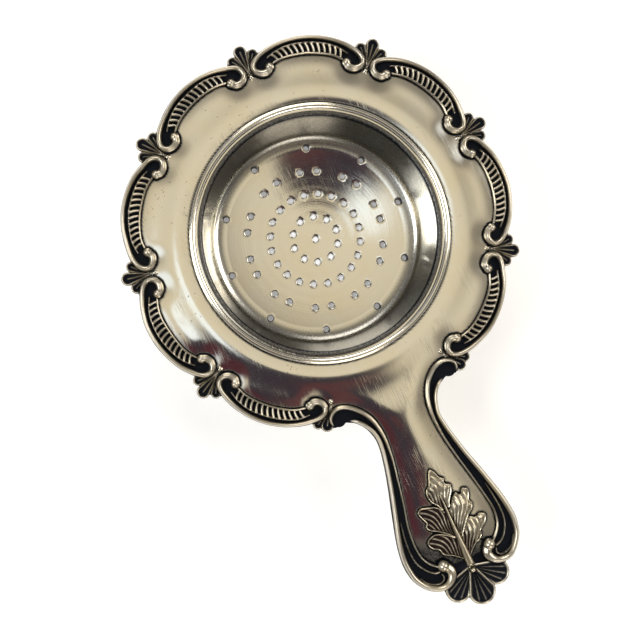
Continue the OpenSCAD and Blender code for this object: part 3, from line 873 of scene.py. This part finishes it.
def make_scroll(i):
    parts = scroll_parts(100 + 10 * i)
    piece = relief(f"scroll_{i}", lambda xy: (scroll_gap(parts, xy), scroll_height(parts, xy)),
                   (-14.2, 35.8), (14.2, 46.4), FINE)
    turn_piece(piece, scroll_angle(i))
    dress(piece, "scroll_silver", f"border_scroll_{i}")


def beside(xy, i):
    """Gap to the scrolls on either side of a junction, in the junction's frame."""
    gap = np.full(len(xy), FAR)
    for k in (i, i + 1):
        if 1 <= k <= SCROLLS:
            turn = scroll_angle(k) - junction_angle(i)
            gap = np.minimum(gap, scroll_gap(BASE_SCROLL, turned(xy, 90 + turn)))
    return gap


def make_shell(i):
    def shape(xy):
        gap, h, tone = leaves_shape(SHELL_LEAVES, (0, SHELL_ROOT), xy)
        return np.maximum(gap, SEAM - beside(xy, i)), h, tone
    piece = relief(f"shell_{i}", shape, (-4.6, 39.2), (4.6, 47.4), SHELL_STEP)
    turn_piece(piece, junction_angle(i))
    dress(piece, "shell_silver", f"border_shell_{i}")


def make_neck_shell(side, name):
    def shape(xy):
        gap, h, tone = leaves_shape(NECK_LEAVES, (0, SHELL_ROOT), xy)
        world = turned(xy, 180 - HANDLE_GAP / 2)
        other = np.minimum(beside(xy, 0), handle_gap(BASE_HANDLE, world))
        return np.maximum(gap, SEAM - other), h, tone
    piece = relief(f"neck_shell_{name}_cast", shape, (-6.5, 39.0), (3.5, 47.0), SHELL_STEP)
    turn_piece(piece, HANDLE_GAP / 2)
    if side < 0:
        mirror_piece(piece)
    dress(piece, "shell_silver", f"neck_shell_{name}")


def make_handle_scroll(side, name):
    parts = handle_parts(300 if side > 0 else 340)
    piece = relief(f"handle_scroll_{name}_cast",
                   lambda xy: (handle_gap(parts, xy), handle_height(parts, xy)),
                   (37.2, 3.0), (88.2, 17.2), FINE)
    if side < 0:
        mirror_piece(piece)
    dress(piece, "scroll_silver", f"handle_scroll_{name}")


def make_leaf():
    clusters = leaf_clusters()

    def shape(xy):
        gap, h, tone = leaf_shape(clusters, xy)
        return gap, h + crown(xy), tone
    piece = relief("leaf_cast", shape, (59.4, -8.2), (83.4, 8.8), 0.10, rows=((0, 0.0),))
    dress(piece, "leaf_silver", "acanthus_leaf")


def make_stem():
    def shape(xy):
        gap, h = stem_shape(xy)
        return gap, h + 0.6
    piece = relief("stem_cast", shape, (66, -1.3), (85, 1.3), 0.08,
                   tarnish=(0.5, 0.85), reach=0.3)
    dress(piece, "leaf_silver", "leaf_stem")


def make_tip():
    def shape(xy):
        gap, h, tone = tip_shape(xy)
        other = np.minimum(handle_gap(BASE_HANDLE, xy), handle_gap(BASE_HANDLE, flip(xy)))
        other = np.minimum(other, spot(TIP_BEAD[0], TIP_BEAD[1], TIP_BEAD[2] + 0.04, xy))
        other = np.minimum(other, along(spline(STEM), xy)[0])
        return np.maximum(gap, SEAM - other), h, tone
    piece = relief("tip_cast", shape, (84.2, -8.6), (95.2, 8.6), FINE)
    dress(piece, "shell_silver", "tip_shell")


BEAD_SIDES, BEAD_STEPS = 28, 10
BEAD_SEED = 500


def bead_mesh(name, places):
    """Small cast beads, each a little uneven, from rows of x, y, radius and height."""
    verts, faces, dark = [], [], []
    turns = np.linspace(0, math.pi / 2, BEAD_STEPS + 1)[:-1]
    for n, (x, y, r, h) in enumerate(places):
        phase = np.random.RandomState(BEAD_SEED + n).uniform(0, 6.28, 3)
        start = len(verts)
        for t in turns:
            share, up = math.cos(t), math.sin(t)
            for k in range(BEAD_SIDES):
                a = 2 * math.pi * k / BEAD_SIDES
                wob = 1 + 0.03 * math.sin(2 * a + phase[0]) + 0.02 * math.sin(3 * a + phase[1])
                verts.append([x + r * share * wob * math.cos(a),
                              y + r * share * wob * math.sin(a), TOP_Z + h * up])
                dark.append(max(0.0, 0.9 - 1.9 * up))
        verts.append([x, y, TOP_Z + h])
        dark.append(0.0)
        for level in range(BEAD_STEPS - 1):
            first = start + level * BEAD_SIDES
            for k in range(BEAD_SIDES):
                a, b = first + k, first + (k + 1) % BEAD_SIDES
                faces.append([a, b, b + BEAD_SIDES, a + BEAD_SIDES])
        last = start + (BEAD_STEPS - 1) * BEAD_SIDES
        for k in range(BEAD_SIDES):
            faces.append([last + k, last + (k + 1) % BEAD_SIDES, len(verts) - 1])
        faces.append([start + k for k in range(BEAD_SIDES)][::-1])
    return build(name, verts, faces, dark, 60)


def make_beads():
    places = []
    for i in range(SCROLLS + 1):
        a = math.radians(junction_angle(i))
        places.append((BEAD_RING * math.cos(a), BEAD_RING * math.sin(a), BEAD_R, BEAD_H))
    dress(bead_mesh("beads_cast", places), "bead_silver", "border_beads")
    dress(bead_mesh("tip_bead_cast", [TIP_BEAD]), "bead_silver", "tip_bead")


def make_ring():
    half = (RING_OUT - RING_IN) / 2
    a = np.linspace(0, math.pi, 19)
    rows = [(RING_IN + half + half * math.cos(t), TOP_Z + RING_H * math.sin(t) ** 0.9)
            for t in a]
    dark = [0.95 * (1 - math.sin(t)) ** 1.6 for t in a]
    ring = lathe("ring_turned", rows, 240, dark)
    dress(ring, "ring_silver", "bowl_bead_ring")


# The bowl: foot radius, fillet and lean of its wall, as in the CAD
FILLET, BOWL_T, LEAN = 3.8, 0.8, 8.8
FOOT_R = OPENING_R - FILLET - 1.9
HOLE_R, HOLE_STEP = 0.7, 5.6
HOLE_RINGS = [
    (1, [18 + 36 * i for i in range(10)]),
    (2, [9 + 18 * i for i in range(20)]),
    (3, [18 + 36 * i + s for i in range(10) for s in (-7, 7)]),
    (4, [18 + 36 * i for i in range(10)])]


def hole_places():
    rng = np.random.RandomState(7)
    places = [(0.0, 0.0)]
    for ring, angles in HOLE_RINGS:
        for angle in angles:
            a = math.radians(angle)
            shift = rng.normal(0, 0.05, 2)
            places.append((ring * HOLE_STEP * math.cos(a) + shift[0],
                           ring * HOLE_STEP * math.sin(a) + shift[1]))
    return places


DISH_MIDDLE, DISH_EDGE = 0.25, 2.20
FLOOR_R = FOOT_R + 1.5            # the outer holes lie across the start of the fillet


def turn_up(r, radius):
    """Rise of a quarter round that starts level at the foot's edge."""
    return radius * (1 - np.sqrt(1 - (np.clip(r - FOOT_R, 0, radius) / radius) ** 2))


def floor_z(r):
    """Top of the spun floor: a shallow dish with faint rings, then the fillet."""
    inner = FILLET - BOWL_T
    dish = DISH_MIDDLE + (DISH_EDGE - DISH_MIDDLE) * (np.minimum(r, FOOT_R) / FOOT_R) ** 2.2
    dish = dish + 0.004 * np.cos(r * 2.6) * smooth(FOOT_R, 14, r)
    return dish + turn_up(r, inner) * (FILLET - DISH_EDGE) / inner


BOWL_SIDES, HOLE_SIDES = 160, 24
HOLE_BANDS = (1.0, 1.16, 1.40)    # a hole's edge, its worn lip and the flat around it


def circle(x, y, r, count, shift=0.0):
    """Points round a circle, turned by a share of one step."""
    turns = [2 * math.pi * (k + shift) / count for k in range(count)]
    return [(x + r * math.cos(a), y + r * math.sin(a)) for a in turns]


def loop_edges(start, count):
    return [(start + k, start + (k + 1) % count) for k in range(count)]


def hole_gap(xy, places):
    """Distance from each point to the middle of the nearest hole."""
    return np.hypot(xy[:, :1] - places[:, 0], xy[:, 1:] - places[:, 1]).min(axis=1)


def floor_points(places):
    """Points and fixed edges of the floor: its rim, bands round each hole, then circles."""
    points = circle(0, 0, FLOOR_R, BOWL_SIDES)
    edges = loop_edges(0, BOWL_SIDES)
    for x, y in places:
        edges += loop_edges(len(points), HOLE_SIDES)
        for band, shift in zip(HOLE_BANDS, (0.0, 0.5, 0.0)):
            points += circle(x, y, HOLE_R * band, HOLE_SIDES, shift)
    step = 0.5
    rounds = np.append(np.arange(step, FOOT_R, step), FOOT_R + np.arange(0.25, 1.4, 0.25))
    for level, r in enumerate(rounds):
        count = BOWL_SIDES if r > FOOT_R - 3 else max(8, int(2 * math.pi * r / step))
        ring = np.array(circle(0, 0, r, count, 0.5 * (level % 2)))
        points += ring[hole_gap(ring, places) > HOLE_R * 1.62].tolist()
    return [Vector(point) for point in points], edges


def open_edges(tris):
    """Sides that belong to one triangle only: the holes' edges and the floor's rim."""
    pairs = dict.fromkeys((t[k], t[(k + 1) % 3]) for t in tris.tolist() for k in range(3))
    return [(a, b) for a, b in pairs if (b, a) not in pairs]


def fillet_turns(radius):
    """Angles round a fillet from the floor's rim to the leaning wall."""
    start = math.degrees(math.acos((FLOOR_R - FOOT_R) / radius))
    return np.radians(np.linspace(-start, -LEAN, 15)[1:])


def blend(first, last, shares, bend=1.0):
    """Points from one r, z point towards another."""
    return [(first[0] + (last[0] - first[0]) * s ** bend, first[1] + (last[1] - first[1]) * s)
            for s in shares]


def wall_section():
    """The wall from the floor's rim up, over the lip and down outside: its r, z points, their
    tarnish with painted shade in it, and True where painted highlights brighten them."""
    inner = FILLET - BOWL_T
    fillet_in = [(FOOT_R + inner * math.cos(t),
                  DISH_EDGE + inner * (1 + math.sin(t)) * (FILLET - DISH_EDGE) / inner)
                 for t in fillet_turns(inner)]
    fillet_out = [(FOOT_R + FILLET * math.cos(t), FILLET + FILLET * math.sin(t))
                  for t in fillet_turns(FILLET)[::-1]]
    neck = OPENING_R - SEAM
    inner_top, lip_top = neck - BOWL_T, TOP_Z + 0.42
    rise = blend(fillet_in[-1], (inner_top, BOWL_H - 0.2), np.linspace(0, 1, 11)[1:], 0.92)
    lip = [(inner_top + 0.05, TOP_Z - 0.25), (inner_top + 0.16, TOP_Z + 0.12),
           (inner_top + 0.40, TOP_Z + 0.36), (inner_top + 0.72, lip_top),
           (28.35, lip_top - 0.02), (28.58, TOP_Z + 0.30), (28.6, TOP_Z)]
    outside = [(neck, TOP_Z), (neck, BOWL_H), (neck - 0.05, BOWL_H - 0.1)]
    fall = blend(outside[-1], fillet_out[0], np.linspace(0, 1, 9)[1:-1])
    # Painted shade: the fillet, the inner wall and the lip get high tarnish values, so they look
    # dark.
    shade = ([0.56] * len(fillet_in) + [0.68] * len(rise)
             + [0.85, 0.80, 0.72, 0.66, 0.72, 0.85, 0.90]
             + [0.3] * len(outside) + [0.06] * len(fall + fillet_out))
    highlight_rows = np.arange(len(shade)) < len(fillet_in + rise)
    return fillet_in + rise + lip + outside + fall + fillet_out, np.array(shade), highlight_rows


def painted_wall_highlight(a):
    """Share of the wall's painted shade that a painted highlight lifts, by the direction from the
    middle.
    """
    far_side = bell((1 - math.cos(a - 1.15)) / 0.07)
    near_side = bell((1 - math.cos(a + 1.85)) / 0.09)
    return 0.55 * far_side + 0.6 * near_side


def make_bowl():
    places = np.array(hole_places())
    flat, _, tris, _, _, _ = geometry.delaunay_2d_cdt(*floor_points(places), [], 0, 1e-5)
    flat = np.array([[point.x, point.y] for point in flat])
    tris = np.array(tris)
    tris = tris[hole_gap(flat[tris].mean(axis=1), places) > HOLE_R * 0.98]
    r = np.hypot(*flat.T)
    near = hole_gap(flat, places)
    lip = 0.10 * smooth(HOLE_R * 1.3, HOLE_R * 0.98, near)
    dark = 0.10 + 0.75 * smooth(HOLE_R * 1.34, HOLE_R, near)
    # Painted shade: the floor darkens across its outer rim, round the fillet.
    dark = dark + 0.40 * smooth(FOOT_R - 0.2, FOOT_R + 0.9, r)
    n = len(flat)
    verts = [np.column_stack([flat, floor_z(r) - lip]),
             np.column_stack([flat, turn_up(r, FILLET) + lip * 0.4])]
    tone = [dark, dark * 0.5]
    faces = tris.tolist() + (tris[:, [0, 2, 1]] + n).tolist()
    rim = []
    for a, b in open_edges(tris):
        if min(r[a], r[b]) > FLOOR_R - 0.01:
            rim.append(a)
        else:
            faces.append([a + n, b + n, b, a])
    rim.sort(key=lambda k: math.atan2(flat[k, 1], flat[k, 0]) % (2 * math.pi))
    section, shade, highlight_rows = wall_section()
    m = len(section)
    for k, here in enumerate(rim):
        turn = math.atan2(flat[here, 1], flat[here, 0])
        verts.append([[rr * math.cos(turn), rr * math.sin(turn), z] for rr, z in section])
        # Painted highlights lighten the inner wall's painted shade in two directions round the
        # bowl.
        tone.append(np.where(highlight_rows, shade * (1 - painted_wall_highlight(turn)), shade))
        onward = (k + 1) % len(rim)
        a, b, there = 2 * n + k * m, 2 * n + onward * m, rim[onward]
        faces.append([here, a, b, there])
        faces += [[a + i, a + i + 1, b + i + 1, b + i] for i in range(m - 1)]
        faces.append([a + m - 1, here + n, there + n, b + m - 1])
    piece = build("bowl_spun", np.vstack(verts), faces, np.concatenate(tone), 48)
    dress(piece, "bowl_silver", "pierced_bowl")


make_plate()
make_bowl()
make_ring()
for index in range(1, SCROLLS + 1):
    make_scroll(index)
for index in range(1, SCROLLS):
    make_shell(index)
make_neck_shell(1, "left")
make_neck_shell(-1, "right")
make_beads()
make_handle_scroll(1, "left")
make_handle_scroll(-1, "right")
make_leaf()
make_stem()
make_tip()


# ---- Floor, light and camera ----

FLOOR_SIDE, FLOOR_CELLS = 1.6, 8
FLOOR_Z = -0.00002


def make_floor():
    line = np.linspace(-FLOOR_SIDE, FLOOR_SIDE, FLOOR_CELLS + 1)
    row = len(line)
    verts = [(x, y, FLOOR_Z) for y in line for x in line]
    faces = [[j * row + i, j * row + i + 1, (j + 1) * row + i + 1, (j + 1) * row + i]
             for j in range(FLOOR_CELLS) for i in range(FLOOR_CELLS)]
    mesh = bpy.data.meshes.new("floor")
    mesh.from_pydata(verts, [], faces)
    floor = place_object("floor", mesh)
    material = bpy.data.materials.new("pale_floor")
    material.use_nodes = True
    Nodes(material.node_tree).fill(material.node_tree.nodes["Principled BSDF"], {
        "Base Color": (0.90, 0.90, 0.90, 1), "Roughness": 0.9,
        "Emission Color": (1, 1, 1, 1), "Emission Strength": 0.26})
    mesh.materials.append(material)


TURN = math.radians(66.2)       # the handle points down and to the right in the picture
RIGHT = Vector((math.cos(TURN), math.sin(TURN), 0))
UP = Vector((-math.sin(TURN), math.cos(TURN), 0))


def heading(across, up):
    """A direction these degrees from straight up, towards the picture's right and top."""
    way = RIGHT * math.tan(math.radians(across)) + UP * math.tan(math.radians(up))
    return tuple((way + Vector((0, 0, 1))).normalized())


# Round patches of the room: degrees right and up from the zenith, full and faded radius, colour
ROOM = [
    ((1.5, -10.2), 9.2, 11.4, (0.040, 0.032, 0.044, 1)),
    ((-12, -17), 7.0, 11.0, (0.075, 0.022, 0.030, 1)),
    ((7, -14), 4.0, 6.5, (0.095, 0.038, 0.044, 1)),
    ((-4.2, 0.0), 3.3, 5.0, (1.05, 1.12, 1.17, 1)),
    ((-21, -8), 6.0, 10.0, (0.95, 1.02, 1.08, 1)),
    ((34, 22), 6.0, 12.0, (0.75, 0.76, 0.76, 1)),
    ((-30, 34), 5.0, 11.0, (0.60, 0.62, 0.64, 1)),
    ((30, -36), 5.0, 10.0, (0.40, 0.36, 0.32, 1)),
]


# Colours of the room by height, from level to straight up
SKY = [(0.0, 0.52), (0.30, (0.40, 0.39, 0.38, 1)), (0.50, 0.13), (0.80, (0.11, 0.10, 0.09, 1)),
       (0.90, (0.30, 0.27, 0.22, 1)), (0.955, (0.66, 0.60, 0.475, 1)), (1.0, (0.76, 0.69, 0.54, 1))]


def make_world():
    world = bpy.data.worlds.new("studio")
    bpy.context.scene.world = world
    world.use_nodes = True
    n = Nodes(world.node_tree)
    way = n.add("ShaderNodeTexCoord").outputs["Generated"]
    high = n.add("ShaderNodeSeparateXYZ", {"Vector": way}).outputs[2]
    sky = n.ramp(high, SKY)
    for (across, up), full, faded, colour in ROOM:
        near = n.add("ShaderNodeVectorMath", {0: way, 1: heading(across, up)},
                     operation="DOT_PRODUCT").outputs["Value"]
        share = n.add("ShaderNodeMapRange", {
            "Value": near, "From Min": math.cos(math.radians(faded)),
            "From Max": math.cos(math.radians(full))}, interpolation_type="SMOOTHSTEP")
        sky = n.mix(share.outputs[0], sky, colour)
    n.fill(world.node_tree.nodes["Background"], {"Color": sky, "Strength": 1.0})


LAMP_SIZE = 0.44
# Places right, up and high from the part's middle, power and colour
LAMPS = [
    ("left", -0.62, -0.10, 0.50, 3.2, (0.92, 0.96, 1.0)),
    ("right", 0.60, 0.22, 0.46, 2.5, (1.0, 0.97, 0.92)),
    ("far", -0.12, 0.66, 0.44, 2.3, (1.0, 0.98, 0.95)),
    ("near", 0.20, -0.66, 0.42, 1.8, (1.0, 0.95, 0.90))]


def make_lights():
    """Soft square lamps that point at the part's middle."""
    middle = Vector((0.02, 0, 0.01))
    for name, across, up, high, power, colour in LAMPS:
        data = bpy.data.lights.new(name, "AREA")
        data.shape = "RECTANGLE"
        data.size = data.size_y = LAMP_SIZE
        data.energy = power
        data.color = colour
        lamp = place_object(name, data)
        lamp.location = middle + RIGHT * across + UP * up + Vector((0, 0, high))
        lamp.rotation_euler = (middle - lamp.location).to_track_quat("-Z", "Y").to_euler()


CAMERA_LENS = 57.15
CAMERA_PLACE = UP * -0.0212 + RIGHT * -0.0203 + Vector((0, 0, 0.250))
# Small turns in degrees about these axes, from looking straight down
CAMERA_TURNS = [(-0.59, "Z"), (-4.85, UP), (0.34, RIGHT)]


def make_camera():
    data = bpy.data.cameras.new("camera")
    data.sensor_width = 36.0
    data.lens = CAMERA_LENS
    data.clip_start, data.clip_end = 0.01, 10
    camera = place_object("camera", data)
    axes = Matrix((RIGHT, UP, Vector((0, 0, 1)))).transposed()
    for angle, axis in reversed(CAMERA_TURNS):
        axes = Matrix.Rotation(math.radians(angle), 3, axis) @ axes
    camera.matrix_world = Matrix.Translation(CAMERA_PLACE) @ axes.to_4x4()
    bpy.context.scene.camera = camera


make_floor()
make_world()
make_lights()
make_camera()
bpy.context.scene.view_settings.view_transform = "Standard"
